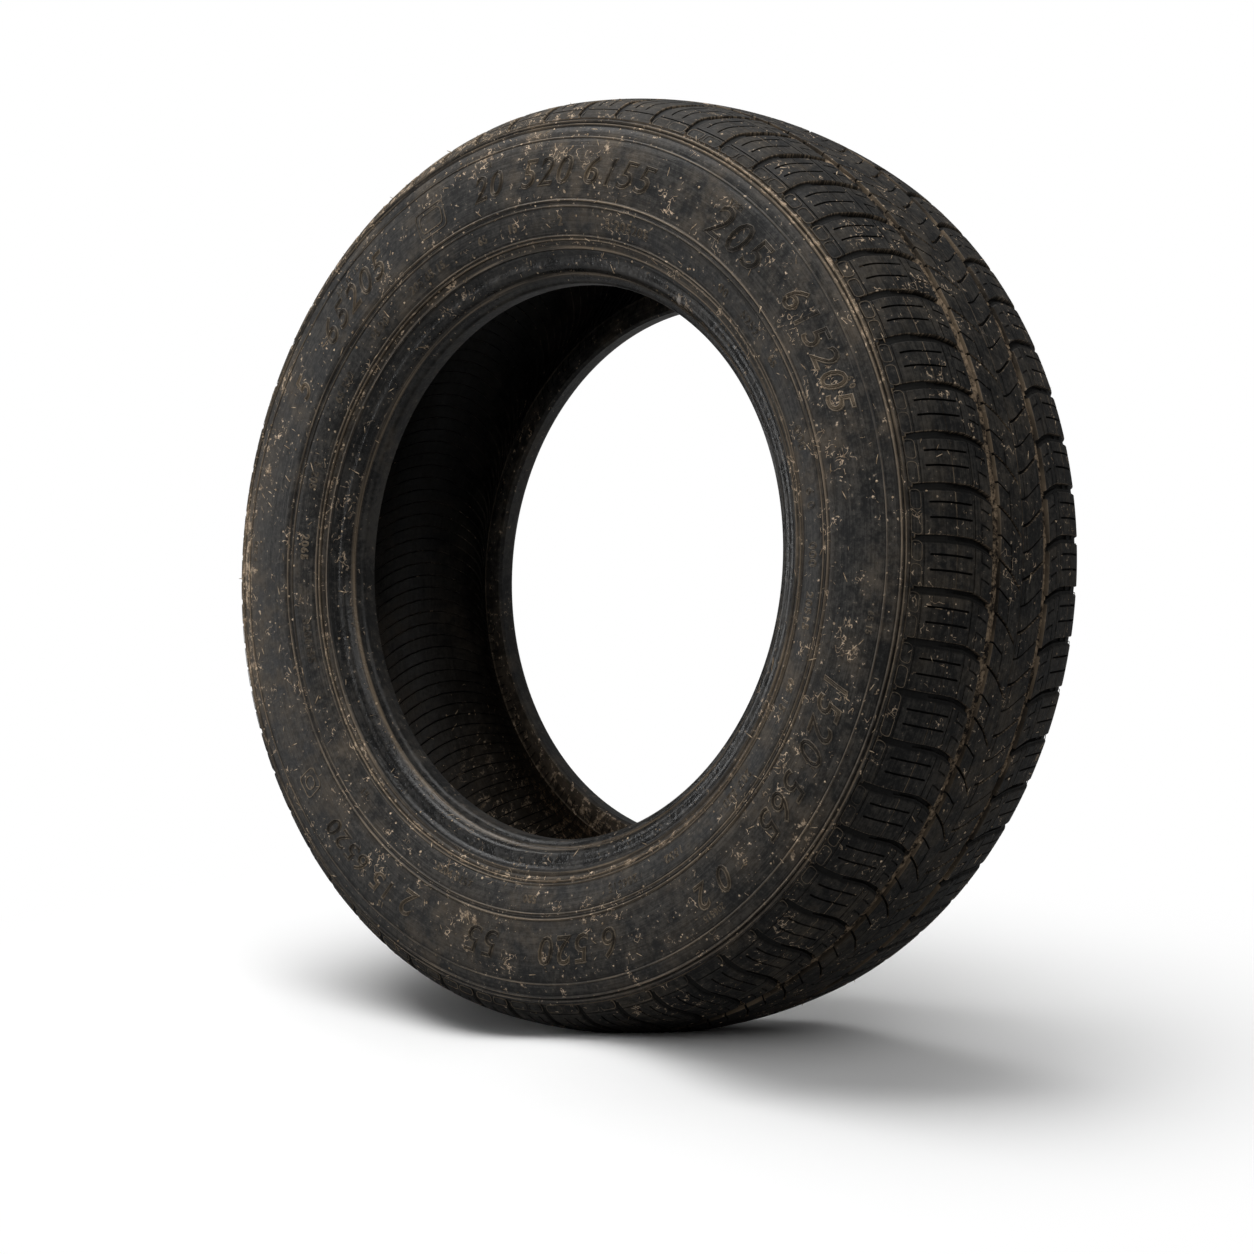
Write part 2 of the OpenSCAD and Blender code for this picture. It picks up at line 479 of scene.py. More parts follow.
def worn_rubber(name, dark, pale, dust, film, edge_dust_and_highlight, strewn, roughness, gloss):
    """Old rubber with painted shade in hollows and on the bead, pale edges (dust and a painted
    highlight), curled scratches, specks, caked patches and painted highlight streaks.
    """
    f = Finish(name)
    hollow, edge, polish_and_shade, dust_and_painted_light = [f.value(key) for key in ("hollow", "edge", "polish_and_shade", "dust_and_painted_light")]
    mottle = f.noise(60, 4, 0.65)
    fine = f.noise(260, 3, 0.7)
    grit = f.noise(125, 5, 0.72)
    streaks = ring_streaks(f)
    # rubber under a film of dust in slow patches
    uneven_tone = f.math("ADD", f.math("MULTIPLY", mottle, streaks), f.math("MULTIPLY", fine, 0.7))
    rubber = f.mix(f.ramp(uneven_tone, 0.48, 0.76), dark, pale)
    veil = f.math("MULTIPLY", f.ramp(f.noise(13, 4, 0.6), 0.38, 0.66), f.ramp(mottle, 0.35, 0.7))
    veil = f.math("ADD", f.math("MULTIPLY", veil, film), f.math("MULTIPLY", dust_and_painted_light, 0.24))
    veil = f.math("MULTIPLY", veil, f.ramp(polish_and_shade, 0.0, 1.0, 1.0, 0.25))
    rubber = f.mix(veil, rubber, dust)
    # painted shade: the polished bead and its foot are blended towards a cool near black
    rubber = f.mix(f.math("MULTIPLY", polish_and_shade, 0.35), rubber, linear(16, 17, 18))
    # painted shade: hollows, cuts, the casing under the tread and the inside of the tyre are
    # blended towards near black
    rubber = f.mix(f.math("MULTIPLY", hollow, 0.9), rubber, linear(7, 7, 6))
    # pale tan along worn edges, ridge crests and raised marks: partly dust and wear, partly a
    # painted highlight
    pale_edges = f.math("MULTIPLY", f.ramp(f.math("ADD", streaks, f.math("MULTIPLY", dust_and_painted_light, 0.2)),
                                     0.42, 0.70, 0.10, 1.0), edge_dust_and_highlight)
    rubber = f.mix(f.math("MULTIPLY", edge, pale_edges), rubber, linear(176, 155, 129))
    # curled scratches and specks of many sizes
    cells = f.node("ShaderNodeTexVoronoi", {"Vector": f.place, "Scale": 170})
    chance = f.node("ShaderNodeSeparateColor", {0: cells.outputs["Color"]}).outputs
    gate = f.math("ADD", f.noise(31, 4, 0.65), f.math("MULTIPLY", dust_and_painted_light, 0.13))
    some = f.math("ADD", f.math("MULTIPLY", chance[1], 0.45), gate, False)
    curls = curled_scratches(f, some)
    size = f.math("MULTIPLY", f.math("POWER", chance[0], 2.2), 0.17)
    specks = f.ramp(f.math("DIVIDE", cells.outputs["Distance"], size), 1.1, 0.75)
    specks = f.math("MAXIMUM", specks, f.ramp(fine, 0.655, 0.72))
    specks = f.math("MULTIPLY", specks, f.ramp(gate, 0.42, 0.58, 0.15, 1.0))
    # mud caked in patches
    caked = f.ramp(f.math("ADD", grit, f.math("MULTIPLY", dust_and_painted_light, 0.23)), 0.71, 0.79)
    dirt = f.math("MAXIMUM", f.math("MAXIMUM", curls, specks), f.math("MULTIPLY", caked, 0.75))
    dirt = f.math("MULTIPLY", dirt, f.ramp(hollow, 0.12, 0.45, strewn, 0.0))
    dirt = f.math("MULTIPLY", dirt, f.ramp(polish_and_shade, 0.0, 1.0, 1.0, 0.6))
    tint = f.mix(f.ramp(fine, 0.32, 0.66), linear(116, 98, 78), linear(236, 210, 180))
    # amounts over 1 turn almost white: the thickest mud, the scuff and the painted highlight
    # streaks
    tint = f.mix(f.ramp(dust_and_painted_light, 1.0, 1.5), tint, linear(224, 214, 204))
    colour = f.mix(dirt, rubber, tint)
    rough = f.math("ADD", f.ramp(mottle, 0.3, 0.7, roughness - 0.06, roughness + 0.07),
                   f.math("MULTIPLY", f.math("ADD", dirt, veil), 0.25))
    rough = f.math("SUBTRACT", rough, f.math("MULTIPLY", polish_and_shade, 0.27))
    # grain, lines and the thickness of the mud, in millimetres
    height = f.math("ADD", f.math("MULTIPLY", fine, 0.50), f.math("MULTIPLY", mottle, 0.50), False)
    height = f.math("ADD", height, f.math("MULTIPLY", streaks, 0.28), False)
    height = f.math("ADD", height, f.math("MULTIPLY", caked, 0.22), False)
    f.set(Base_Color=colour, Roughness=rough, Specular_IOR_Level=gloss,
          Normal=f.bump(height, MM, 0.8))
    return f.material


def dried_mud(name, dark, pale):
    f = Finish(name)
    patches = f.math("ADD", f.math("MULTIPLY", f.noise(300, 4, 0.7), 0.6),
                     f.math("MULTIPLY", f.noise(70, 3, 0.6), 0.4))
    colour = f.mix(f.ramp(patches, 0.42, 0.62), dark, pale)
    f.set(Base_Color=colour, Roughness=0.92, Specular_IOR_Level=0.15,
          Normal=f.bump(f.noise(900, 4, 0.6), 0.2 * MM, 0.6))
    return f.material


sidewall_rubber = worn_rubber(
    "sidewall_rubber", linear(19, 19, 19), linear(62, 60, 57), linear(122, 107, 88),
    film=0.34, edge_dust_and_highlight=0.5, strewn=0.95, roughness=0.55, gloss=0.32)
tread_rubber = worn_rubber(
    "tread_rubber", linear(15, 15, 15), linear(50, 48, 45), linear(102, 91, 76),
    film=0.26, edge_dust_and_highlight=0.55, strewn=0.65, roughness=0.68, gloss=0.22)
mark_rubber = worn_rubber(
    "raised_mark_rubber", linear(40, 37, 33), linear(100, 91, 78), linear(140, 123, 101),
    film=0.4, edge_dust_and_highlight=0.5, strewn=0.5, roughness=0.62, gloss=0.28)
mud_crumbs = dried_mud("mud_crumbs", linear(136, 117, 94), linear(218, 196, 168))
groove_mud = dried_mud("groove_mud", linear(26, 23, 20), linear(140, 122, 101))


# ------------------------------
# Carcass: sidewalls, beads and liner, one closed ring
# ------------------------------
# Raised lines on a sidewall: radius, height, half width
RAISED_LINES = [
    (298.4, 0.9, 0.8), (295.8, 0.9, 0.8), (286.8, 0.55, 0.6),
    (243.4, 0.8, 0.8), (239.6, 0.5, 0.6),
    (220.0, 0.6, 0.6), (217.6, 0.7, 0.6), (212.4, 0.9, 1.1),
    (200.8, 1.9, 4.2)]
# The valley beside a line: its depth as a share of the height, its place in half widths
VALLEY = 0.45
VALLEY_PLACE = 1.7
# Worn edge of the bead's lip, counted across; the sunk band and the wheel's polish (which also
# carries painted shade), as radii
LIP_EDGE = 208.4
SUNK_BAND_R = 214.6
POLISHED_R = 211
# Mud dried on the side, and painted highlight streaks along the bead: angle in degrees, across,
# half length, half width, amount
MUD_AND_HIGHLIGHT_PATCHES = [
    (176, 107, 56, 12, 1.1), (163, 120, 32, 12, 0.8), (191, 108, 36, 10, 1.0),
    (149, 107, 14, 8, 0.8), (125, 107, 13, 8, 0.8), (112, 121, 8, 9, 0.7),
    (101, 112, 12, 10, 0.9), (91, 108, 12, 9, 0.9), (78, 118, 13, 9, 0.9),
    (86, 121, 8, 10, 0.8), (212, 112, 16, 8, 0.6), (217, 149, 10, 13, 0.6),
    (229, 159, 8, 8, 0.5), (253, 148, 14, 15, 0.8), (279, 156, 14, 8, 0.6),
    (296, 111, 18, 8, 0.6), (309.5, 137, 9, 10, 0.9), (318, 110, 15, 8, 1.0),
    (344, 131, 7, 8, 0.8), (42, 100, 120, 4.5, 1.0), (55.5, 201.5, 9, 5, 1.7),
    # the last four are painted highlight streaks along the bead
    (215, 185, 15, 2.5, 1.2), (243, 182, 16, 3, 0.9), (192, 208, 48, 2.2, 1.3),
    (228, 207, 30, 2.0, 1.1)]


def dust_and_highlights(across, turns):
    """How much mud has dried on at each place of a side, with the bead's painted highlight streaks,
    as rows across and columns round.
    """
    across, turns = across[:, None], turns[None, :]
    # dirt all round: at the inner double ring, on the rim lines and on the bead's lip
    dust_and_painted_light = 0.5 * np.exp(-((across - 156) / 6) ** 2) * (0.65 + 0.35 * np.cos(turns + 0.5))
    dust_and_painted_light = np.maximum(dust_and_painted_light, np.exp(-((across - 183.5) / 3.4) ** 2)
                       * (0.8 - 0.15 * np.sin(turns)))
    dust_and_painted_light = np.maximum(dust_and_painted_light, np.exp(-((across - 207) / 2.0) ** 2)
                       * (0.5 - 0.4 * np.cos(turns - 0.5)))
    for angle, middle, length, width, amount in MUD_AND_HIGHLIGHT_PATCHES:
        turned = (turns - angle * DEGREE + math.pi) % (2 * math.pi) - math.pi
        reach = (turned * WIDEST_R / length) ** 2 + ((across - middle) / width) ** 2
        dust_and_painted_light = np.maximum(dust_and_painted_light, amount * np.exp(-0.7 * reach))
    return dust_and_painted_light


def line_profile(offset, height, half):
    """A rounded ridge with a shallow valley on each side."""
    reach = np.abs(offset) / half
    ridge = height * np.clip(1 - reach ** 2, 0, 1)
    valley = VALLEY * height * np.exp(-((reach - VALLEY_PLACE) / 0.55) ** 2)
    return ridge - valley


def side_profile():
    """Stops across one side, with the height, the painted shade of the hollows, the pale edges and
    the bead's polish and painted shade at each.
    """
    lines = [(float(outside.distance_at_radius(r)), h, w) for r, h, w in RAISED_LINES]
    stops = [0, 20, 45, 60, 75, 90, SHOULDER_END - 0.6, SHOULDER_END, SHOULDER_END + 0.6]
    for middle, _, half in lines:
        stops += [middle + half * k for k in (-2.6, -1.7, -1.0, -0.6, 0, 0.6, 1.0, 1.7, 2.6)]
    stops = filled_in(sorted_lines(stops + [outside.end], 0.3), 3.2)
    stops = stops[stops <= outside.end]
    height = np.zeros_like(stops)
    hollow = np.zeros_like(stops)
    edge = np.zeros_like(stops)
    for middle, high, half in lines:
        offset = stops - middle
        height += line_profile(offset, high, half)
        # painted shade in the valley beside each line
        valley = np.exp(-((offset / half - VALLEY_PLACE) / 0.6) ** 2)
        hollow = np.maximum(hollow, 0.85 * valley)
        # the crests of the narrow lines get the pale edge, partly a painted highlight
        if half < 3:
            edge = np.maximum(edge, np.clip(1.2 - np.abs(offset) / half, 0, 1))
    below = stops < SHOULDER_END + 0.3
    height[below] = -CARCASS_DROP
    hollow[below] = 1.0
    edge[below] = 0.0
    edge[np.abs(stops - LIP_EDGE) < 1.2] = 0.8
    sunk_band = np.abs(stops - outside.distance_at_radius(SUNK_BAND_R)) < 2.6
    height[sunk_band] -= 0.7
    # inside this radius the bead is polished and also darkened by painted shade
    polish_and_shade = np.clip((stops - outside.distance_at_radius(POLISHED_R)) / 2, 0, 1)
    return stops, height, hollow, edge, polish_and_shade


def carcass():
    """The whole casing under the tread blocks."""
    stops, height, hollow, edge, polish_and_shade = side_profile()
    heel = [tuple(heel_point(a)) for a in np.linspace(BEAD_SLOPE, math.pi / 2, 6)[1:]]
    foot = heel + [(SEAT_R, BEAD_W / 2 - 10), (SEAT_R, toe_top[1] + TOE_CHAMFER)]
    liner_stops = filled_in(np.array([0, 3, 6, 16, 17, 18, 19, 20, inside.end]), 5.5)
    liner_edge = np.clip(1.2 - np.abs(liner_stops - 18), 0, 1)
    liner_height = 0.9 * liner_edge
    turns = np.linspace(0, 2 * math.pi, CARCASS_SEGMENTS, endpoint=False)

    def loops_for(side):
        """Half of the closed section, from the crown to the liner's middle."""
        skin = on_skin(side * stops[:, None], turns[None, :], height[:, None])
        points = np.array(foot)
        lip = MM * np.stack([points[:, :1] * np.cos(turns), -side * points[:, 1:] + 0 * turns,
                             points[:, :1] * np.sin(turns)], axis=-1)
        radius, y = inside.at(liner_stops, liner_height)
        wave = 0.4 * np.sin(3 * turns[None, :] + liner_stops[:, None] / 30)
        radius = radius[:, None] + wave
        liner = MM * np.stack([radius * np.cos(turns), -side * y[:, None] + 0 * radius,
                               radius * np.sin(turns)], axis=-1)
        return skin, lip, liner

    near, far = loops_for(1), loops_for(-1)
    places = np.concatenate([near[0], near[1], near[2], far[2][::-1][1:], far[1][::-1],
                             far[0][::-1][:-1]])
    count_foot, count_liner = len(foot), len(liner_stops)
    # painted shade inside: the liner darkens from the bead towards the crown
    liner_hollow = np.clip((liner_stops - 8) / 20, 0.0, 0.9)
    columns = {
        "hollow": (hollow, np.full(count_foot, 0.3), liner_hollow),
        "edge": (edge, np.full(count_foot, 0.0), 0.5 * liner_edge),
        "polish_and_shade": (polish_and_shade, np.full(count_foot, 0.4), np.zeros(count_liner)),
        "across": (stops, np.full(count_foot, stops[-1]), liner_stops)}
    values = {}
    for key, (skin, lip, liner) in columns.items():
        half = np.concatenate([skin, lip, liner, liner[::-1][1:], lip[::-1], skin[::-1][:-1]])
        values[key] = np.repeat(half[:, None], CARCASS_SEGMENTS, axis=1)
    dust_and_painted_light = dust_and_highlights(stops, turns)
    # painted light: the bottom of the liner is made paler, with less painted shade and a pale dusty
    # tone, where light falls in
    low = np.clip(0.2 - 0.9 * np.sin(turns), 0, 1)
    first = len(stops) + count_foot
    values["hollow"][first:first + 2 * count_liner - 1] *= 1 - low
    inner = np.zeros((count_foot * 2 + count_liner * 2 - 1, CARCASS_SEGMENTS))
    inner[count_foot:-count_foot] = 0.9 * low
    values["dust_and_painted_light"] = np.concatenate([dust_and_painted_light, inner, dust_and_painted_light[::-1][:-1]])
    mesh = grid_mesh("tyre_carcass", rest_on_floor(places), True, True, values)
    smooth(mesh)
    return link("tyre_carcass", mesh)


# ------------------------------
# Tread blocks
# ------------------------------
class Cut:
    """A cut in the tread: a box in across and along, with worn upper edges."""

    def __init__(self, across, along, depth, wear=0.0, wall=0.15):
        self.across, self.along, self.depth = across, along, depth
        self.wear, self.wall = wear, wall

    def stations(self, low, high):
        """Where the depth changes between two sides, and its share of the depth there."""
        if not self.wear:
            return [low - self.wall, low, high, high + self.wall], [0, 1, 1, 0]
        return ([low - self.wear, low, low + self.wall, high - self.wall, high,
                 high + self.wear], [0, 0.12, 1, 1, 0.12, 0])

    def depth_at(self, across, along):
        share = np.interp(across, *self.stations(*self.across))
        round_it = 0.0
        for turn in (-PITCH, 0.0, PITCH):
            shares = np.interp(along + turn, *self.stations(*self.along))
            round_it = np.maximum(round_it, shares)
        return self.depth * np.minimum(share, round_it)


# The span along of a cut that runs round the tyre
ALL_ROUND = (-50.0, 90.0)


def tread_patch(name, start, end, cuts, lean):
    """One pitch of a tread band, from start to end across, as part of a closed ring."""
    across = [start, start + 0.5, end - 0.5, end]
    along = [0.0, PITCH]
    for cut in cuts:
        across += [v for v in cut.stations(*cut.across)[0] if start < v < end]
        if cut.along != ALL_ROUND:
            along += [v % PITCH for v in cut.stations(*cut.along)[0]]
    across = filled_in(sorted_lines(across), 4.5)
    along = [v for v in sorted_lines(along) if v < PITCH - 0.05] + [PITCH]
    along = filled_in(along, 5.0)
    grid_a, grid_b = np.meshgrid(across, along, indexing="ij")
    depth = np.zeros_like(grid_a)
    for cut in cuts:
        depth = np.maximum(depth, cut.depth_at(grid_a, grid_b))
    depth[[0, -1]] = np.maximum(depth[[0, -1]], 0.35)
    # painted shade in the cuts: the deeper the cut, the darker
    hollow = np.clip(depth / 1.6, 0, 1)
    # the worn bevels of the cuts get the pale edge, partly a painted highlight
    edge = np.where((depth > 0.02) & (depth < 0.7), 1.0, 0.0)
    # the sides and the underside close the band
    under = filled_in(np.array([start, end]), 9.0)[::-1]
    grid_a = np.vstack([grid_a, np.repeat(under[:, None], len(along), axis=1)])
    grid_b = np.vstack([grid_b, np.repeat(along[None, :], len(under), axis=0)])
    below = np.ones((len(under), len(along)))
    depth = np.vstack([depth, PATCH_DEPTH * below])
    hollow = np.vstack([hollow, below])
    edge = np.vstack([edge, 0 * below])
    places = on_skin(grid_a, (grid_b + lean(grid_a)) / TREAD_R, -depth)
    # its far end is its near end turned on by one pitch, so the copies meet exactly
    x, y, z = places[:, 0].T
    cos, sin = math.cos(PITCH / TREAD_R), math.sin(PITCH / TREAD_R)
    places[:, -1] = np.stack([x * cos - z * sin, y, x * sin + z * cos], axis=-1)
    values = {"hollow": hollow, "edge": edge, "across": grid_a}
    return grid_mesh(name, places, True, False, values)


ring = ring_tree()


def tread_ring(name, patch, start_angle):
    """Copies of one pitch all round; a turn about +Y runs against the angles used here."""
    mesh = made_by_nodes(link(name + "_pitch", patch), ring,
                         {"Start": -start_angle, "Material": tread_rubber}, name)
    places = rest_on_floor(places_of(mesh))
    mesh.vertices.foreach_set("co", places.ravel())
    # the upper shoulders have caught more mud
    angle = np.arctan2(places[:, 2], places[:, 0])
    over_shoulder = np.clip((np.abs(places[:, 1]) / MM - 55) / 15, 0, 1)
    set_values(mesh, "dust_and_painted_light", over_shoulder * np.exp(-((angle - 2.1) / 0.8) ** 2))
    smooth(mesh)
    return link(name, mesh)


def shoulder_lean(across):
    """Cross grooves run straight over the shoulder and bend down towards the main groove."""
    return np.interp(np.abs(across), [32, 38, 44, 50, 62, 75], [-8.2, -5.2, -3.1, -1.4, -0.5, 0])


def shoulder_cuts(side):
    """The cross groove, the step beside it, its slits and the fine lines of one pitch."""
    def span(a, b):
        return (a, b) if side > 0 else (-b, -a)

    return [
        Cut(span(28, 64), (-1.6, 1.8), 3.9, wear=0.5, wall=0.4),
        Cut(span(63, 71), (-1.6, 1.8), 2.7, wear=0.5, wall=0.4),
        Cut(span(70, 94.6), (-1.6, 1.8), 1.6, wear=0.5, wall=0.4),
        Cut(span(28, 95.6), (-3.2, -1.0), 1.5, wall=1.3),
        Cut(span(50.5, 84.5), (12.4, 13.6), 2.6),
        Cut(span(50.5, 84.5), (22.6, 23.8), 2.6),
        Cut(span(63.9, 64.4), ALL_ROUND, 0.35),
        Cut(span(88.2, 88.9), ALL_ROUND, 0.7),
        Cut(span(48.0, 48.7), ALL_ROUND, 0.9),
        Cut(span(42.0, 42.7), (0.3, 13.6), 0.9),
        Cut(span(34.5, 42.7), (12.4, 13.6), 0.9),
        Cut(span(42.0, 42.7), (22.6, PITCH + 0.3), 0.9),
        Cut(span(34.5, 42.7), (22.6, 23.8), 0.9)]


def centre_lean(across):
    """The slanting cuts of the centre run down from both grooves to the middle."""
    return np.interp(across, [-25.2, -5.8, 0, 3.4, 14.1, 26.2],
                     [-8.1, -20.6, -22, -18.9, -8.2, 0])


def centre_cuts():
    """Wide and narrow slanting cuts from both sides, and the fine lines between them."""
    return [
        Cut((2.6, 27.0), (22.6, 24.8), 3.0, wear=0.25, wall=0.4),
        Cut((13.8, 27.0), (4.7, 5.9), 2.0),
        Cut((-27.0, 0.4), (31.9, 34.2), 3.2, wear=0.25, wall=0.4),
        Cut((-27.0, 0.4), (15.2, 16.4), 2.0),
        Cut((12.9, 13.6), (24.6, 42.0), 1.2),
        Cut((-3.9, -3.2), (16.2, 32.1), 1.0),
        Cut((0.4, 0.9), ALL_ROUND, 0.5)]


def tread():
    inner = GROOVE_MIDDLE - GROOVE_HALF
    outer = GROOVE_MIDDLE + GROOVE_HALF
    near = tread_patch("shoulder_near", outer, SHOULDER_END, shoulder_cuts(1), shoulder_lean)
    far = tread_patch("shoulder_far", -SHOULDER_END, -outer, shoulder_cuts(-1), shoulder_lean)
    centre = tread_patch("centre_rib", -inner, inner, centre_cuts(), centre_lean)
    return [tread_ring("shoulder_blocks_near", near, PATTERN_TURN),
            tread_ring("shoulder_blocks_far", far, PATTERN_TURN + FAR_LEAD),
            tread_ring("centre_rib", centre, PATTERN_TURN)]


def packed_mud(side, name):
    """Dried mud that fills the bottom of one main groove, as a closed ring."""
    turns = np.linspace(0, 2 * math.pi, 900, endpoint=False)
    across = GROOVE_MIDDLE + np.array([-4.6, -3.4, -2.2, -1.0, 0.2, 1.4, 2.6, 3.6, 4.6])
    random = np.random.default_rng(31 + side)
    lumps = random.random((len(across), len(turns)))
    for _ in range(2):
        lumps = (lumps + np.roll(lumps, 1, 1) + np.roll(lumps, -1, 1)) / 3
    waves = sum(np.sin(k * turns + p) for k, p in ((17, 0.3), (43, 2.0), (71, 4.1))) / 3
    height = -3.1 + 3.2 * (lumps - 0.5) + 0.5 * waves[None, :]
    height[[0, -1]] += 0.5
    under = np.full((2, len(turns)), -7.5)
    height = np.vstack([height, under])
    across = np.concatenate([across, [GROOVE_MIDDLE + 4.6, GROOVE_MIDDLE - 4.6]])
    places = on_skin(side * across[:, None], turns[None, :], height)
    mesh = grid_mesh(name, rest_on_floor(places), True, True, flip=side > 0)
    smooth(mesh, 70 * DEGREE)
    mesh.materials.append(groove_mud)
    return link(name, mesh)


# ------------------------------
# Raised marks on the sidewalls: plain numbers, frames and pads
# ------------------------------
def outline_tubes(name, text, size, radius, inset=0.0):
    """The outline of plain numbers as thin closed tubes, flat, centred, in millimetres."""
    curve = bpy.data.curves.new(name, "FONT")
    curve.body = text
    curve.size = size
    curve.align_x = "CENTER"
    curve.align_y = "CENTER"
    curve.fill_mode = "NONE"
    curve.bevel_depth = radius
    curve.bevel_resolution = 0
    curve.offset = -inset
    curve.resolution_u = 3
    curve.space_character = 1.12
    flat = link(name, curve)
    graph = bpy.context.evaluated_depsgraph_get()
    mesh = bpy.data.meshes.new_from_object(flat.evaluated_get(graph))
    bpy.data.objects.remove(flat)
    bpy.data.curves.remove(curve)
    return mesh


def frame_tube(width, height, corner, radius, sides=4):
    """A rounded rectangle of thin tube as a grid of flat places, in millimetres."""
    path = []
    for quarter, (cx, cy) in enumerate([(1, 1), (-1, 1), (-1, -1), (1, -1)]):
        for step in range(4):
            angle = (quarter + step / 3) * math.pi / 2
            path.append((cx * (width / 2 - corner) + corner * math.cos(angle),
                         cy * (height / 2 - corner) + corner * math.sin(angle),
                         math.cos(angle), math.sin(angle)))
    path = np.array(path)
    rings = []
    for k in range(sides):
        angle = 2 * math.pi * (k + 0.5) / sides
        out, up = radius * math.cos(angle), radius * math.sin(angle)
        rings.append(np.stack([path[:, 0] + out * path[:, 2], path[:, 1] + out * path[:, 3],
                               np.full(len(path), up)], axis=1))
    return np.stack(rings, axis=1)


def shells(work):
    """The groups of faces that hang together, each as a list."""
    found, seen = [], set()
    for first in work.faces:
        if first in seen:
            continue
        seen.add(first)
        shell = [first]
        for face in shell:
            for edge in face.edges:
                for other in edge.link_faces:
                    if other not in seen:
                        seen.add(other)
                        shell.append(other)
        found.append(shell)
    return found


class Marks:
    """Gathers marks that lie flat and lays them on one sidewall as one mesh."""

    def __init__(self, side):
        self.side = side
        self.places, self.faces, self.hollow, self.count = [], [], [], 0

    def lay(self, flat, faces, angle, radius, hollow):
        """flat is x along, y outward and z up, in millimetres about the mark's middle."""
        run = flat[:, 0] * self.side
        across = outside.distance_at_radius(radius) - flat[:, 1]
        turn = angle * DEGREE - run / radius
        self.places.append(on_skin(self.side * across, turn, flat[:, 2]))
        self.faces += [[v + self.count for v in face] for face in faces]
        self.hollow += [hollow] * len(flat)
        self.count += len(flat)

    def number(self, text, angle, radius, size, tube=0.5, slant=0.0, upside_down=False,
               inset=0.0):
        mesh = outline_tubes("number", text, size, tube, inset)
        flat = places_of(mesh)
        faces = [list(p.vertices) for p in mesh.polygons]
        bpy.data.meshes.remove(mesh)
        flat[:, 0] += slant * flat[:, 1]
        if upside_down:
            flat = flat * np.array([-1, -1, 1])
        # an inset tube is nearly black: painted shade of a recess
        self.lay(flat, faces, angle, radius, hollow=0.9 if inset else 0.0)

    def outline(self, width, height, corner, angle, radius, tube=0.4, slant=0.0, hollow=0.0):
        grid = frame_tube(width, height, corner, tube)
        grid[..., 0] += slant * grid[..., 1]
        mesh = grid_mesh("frame", grid, True, True)
        faces = [list(p.vertices) for p in mesh.polygons]
        bpy.data.meshes.remove(mesh)
        self.lay(grid.reshape(-1, 3), faces, angle, radius, hollow=hollow)

    def finish(self, name):
        mesh = bpy.data.meshes.new(name)
        mesh.from_pydata(np.vstack(self.places).tolist(), [], self.faces)
        set_values(mesh, "hollow", self.hollow)
        work = bmesh.new()
        work.from_mesh(mesh)
        bmesh.ops.remove_doubles(work, verts=work.verts, dist=0.000001)
        bmesh.ops.recalc_face_normals(work, faces=work.faces)
        # a digit whose outline crosses itself can come out inside out, so each is tested
        for shell in shells(work):
            middle = sum((f.calc_center_median() for f in shell), Vector()) / len(shell)
            volume = sum((f.calc_center_median() - middle).dot(f.normal) * f.calc_area()
                         for f in shell)
            if volume < 0:
                bmesh.ops.reverse_faces(work, faces=shell)
        work.to_mesh(mesh)
        work.free()
        # the raised marks get the pale edge, partly a painted highlight
        set_values(mesh, "edge", np.full(len(mesh.vertices), 0.6))
        smooth(mesh, 60 * DEGREE)
        mesh.materials.append(mark_rubber)
        return link(name, mesh)


# Plain numbers in outline: middle angle in degrees, text, radius, size
LARGE_NUMBERS = [
    (48.5, "205", 263, 34), (26.5, "615205", 267, 28), (80, "520 6155", 263, 28),
    (99.5, "20", 263, 25), (131.5, "65205", 264, 28), (148.5, "5", 264, 26),
    (229, "15 6520", 266, 22), (276, "6 520", 263, 28), (257, "55", 263, 28),
    (241, "2", 263, 28), (327.5, "1520 565", 264, 28), (303, "0 2", 265, 24)]
# Small ones on one row: middle angle, text, size
SMALL_NUMBERS = [
    (117, "205 65 15", 8), (103, "65", 8), (96, "15", 8), (85, "2", 9), (70, "5 205205", 9.5),
    (46, "00", 9), (38, "5252", 9), (30, "65", 8), (16, "000", 10), (6, "6 0", 10),
    (357, "000", 10), (348, "20515", 9), (334, "65 15", 9), (316, "205 520", 8.5),
    (299, "1552", 8), (287, "206515", 8), (266, "520", 7.5), (248, "5206 5152", 7.5),
    (222, "15", 7), (191, "5206155", 8.5), (174, "2065", 8.5), (161, "5 205", 8),
    (144, "65 520", 8), (131, "15 20", 8)]
# Empty frames: middle angle, width, height, radius
BOXES = [(112, 27, 20, 263), (112, 21, 13, 263), (213, 17, 17, 266), (213, 9, 9, 266)]
# The two pads of each pitch: place along the pitch, width
PADS = [(9.2, 13.6), (25.4, 12.4)]
# Radii of the rows of small and of tiny numbers and of the pads
SMALL_NUMBER_R = 229.5
TINY_NUMBER_R = 279
PAD_R = 303.6


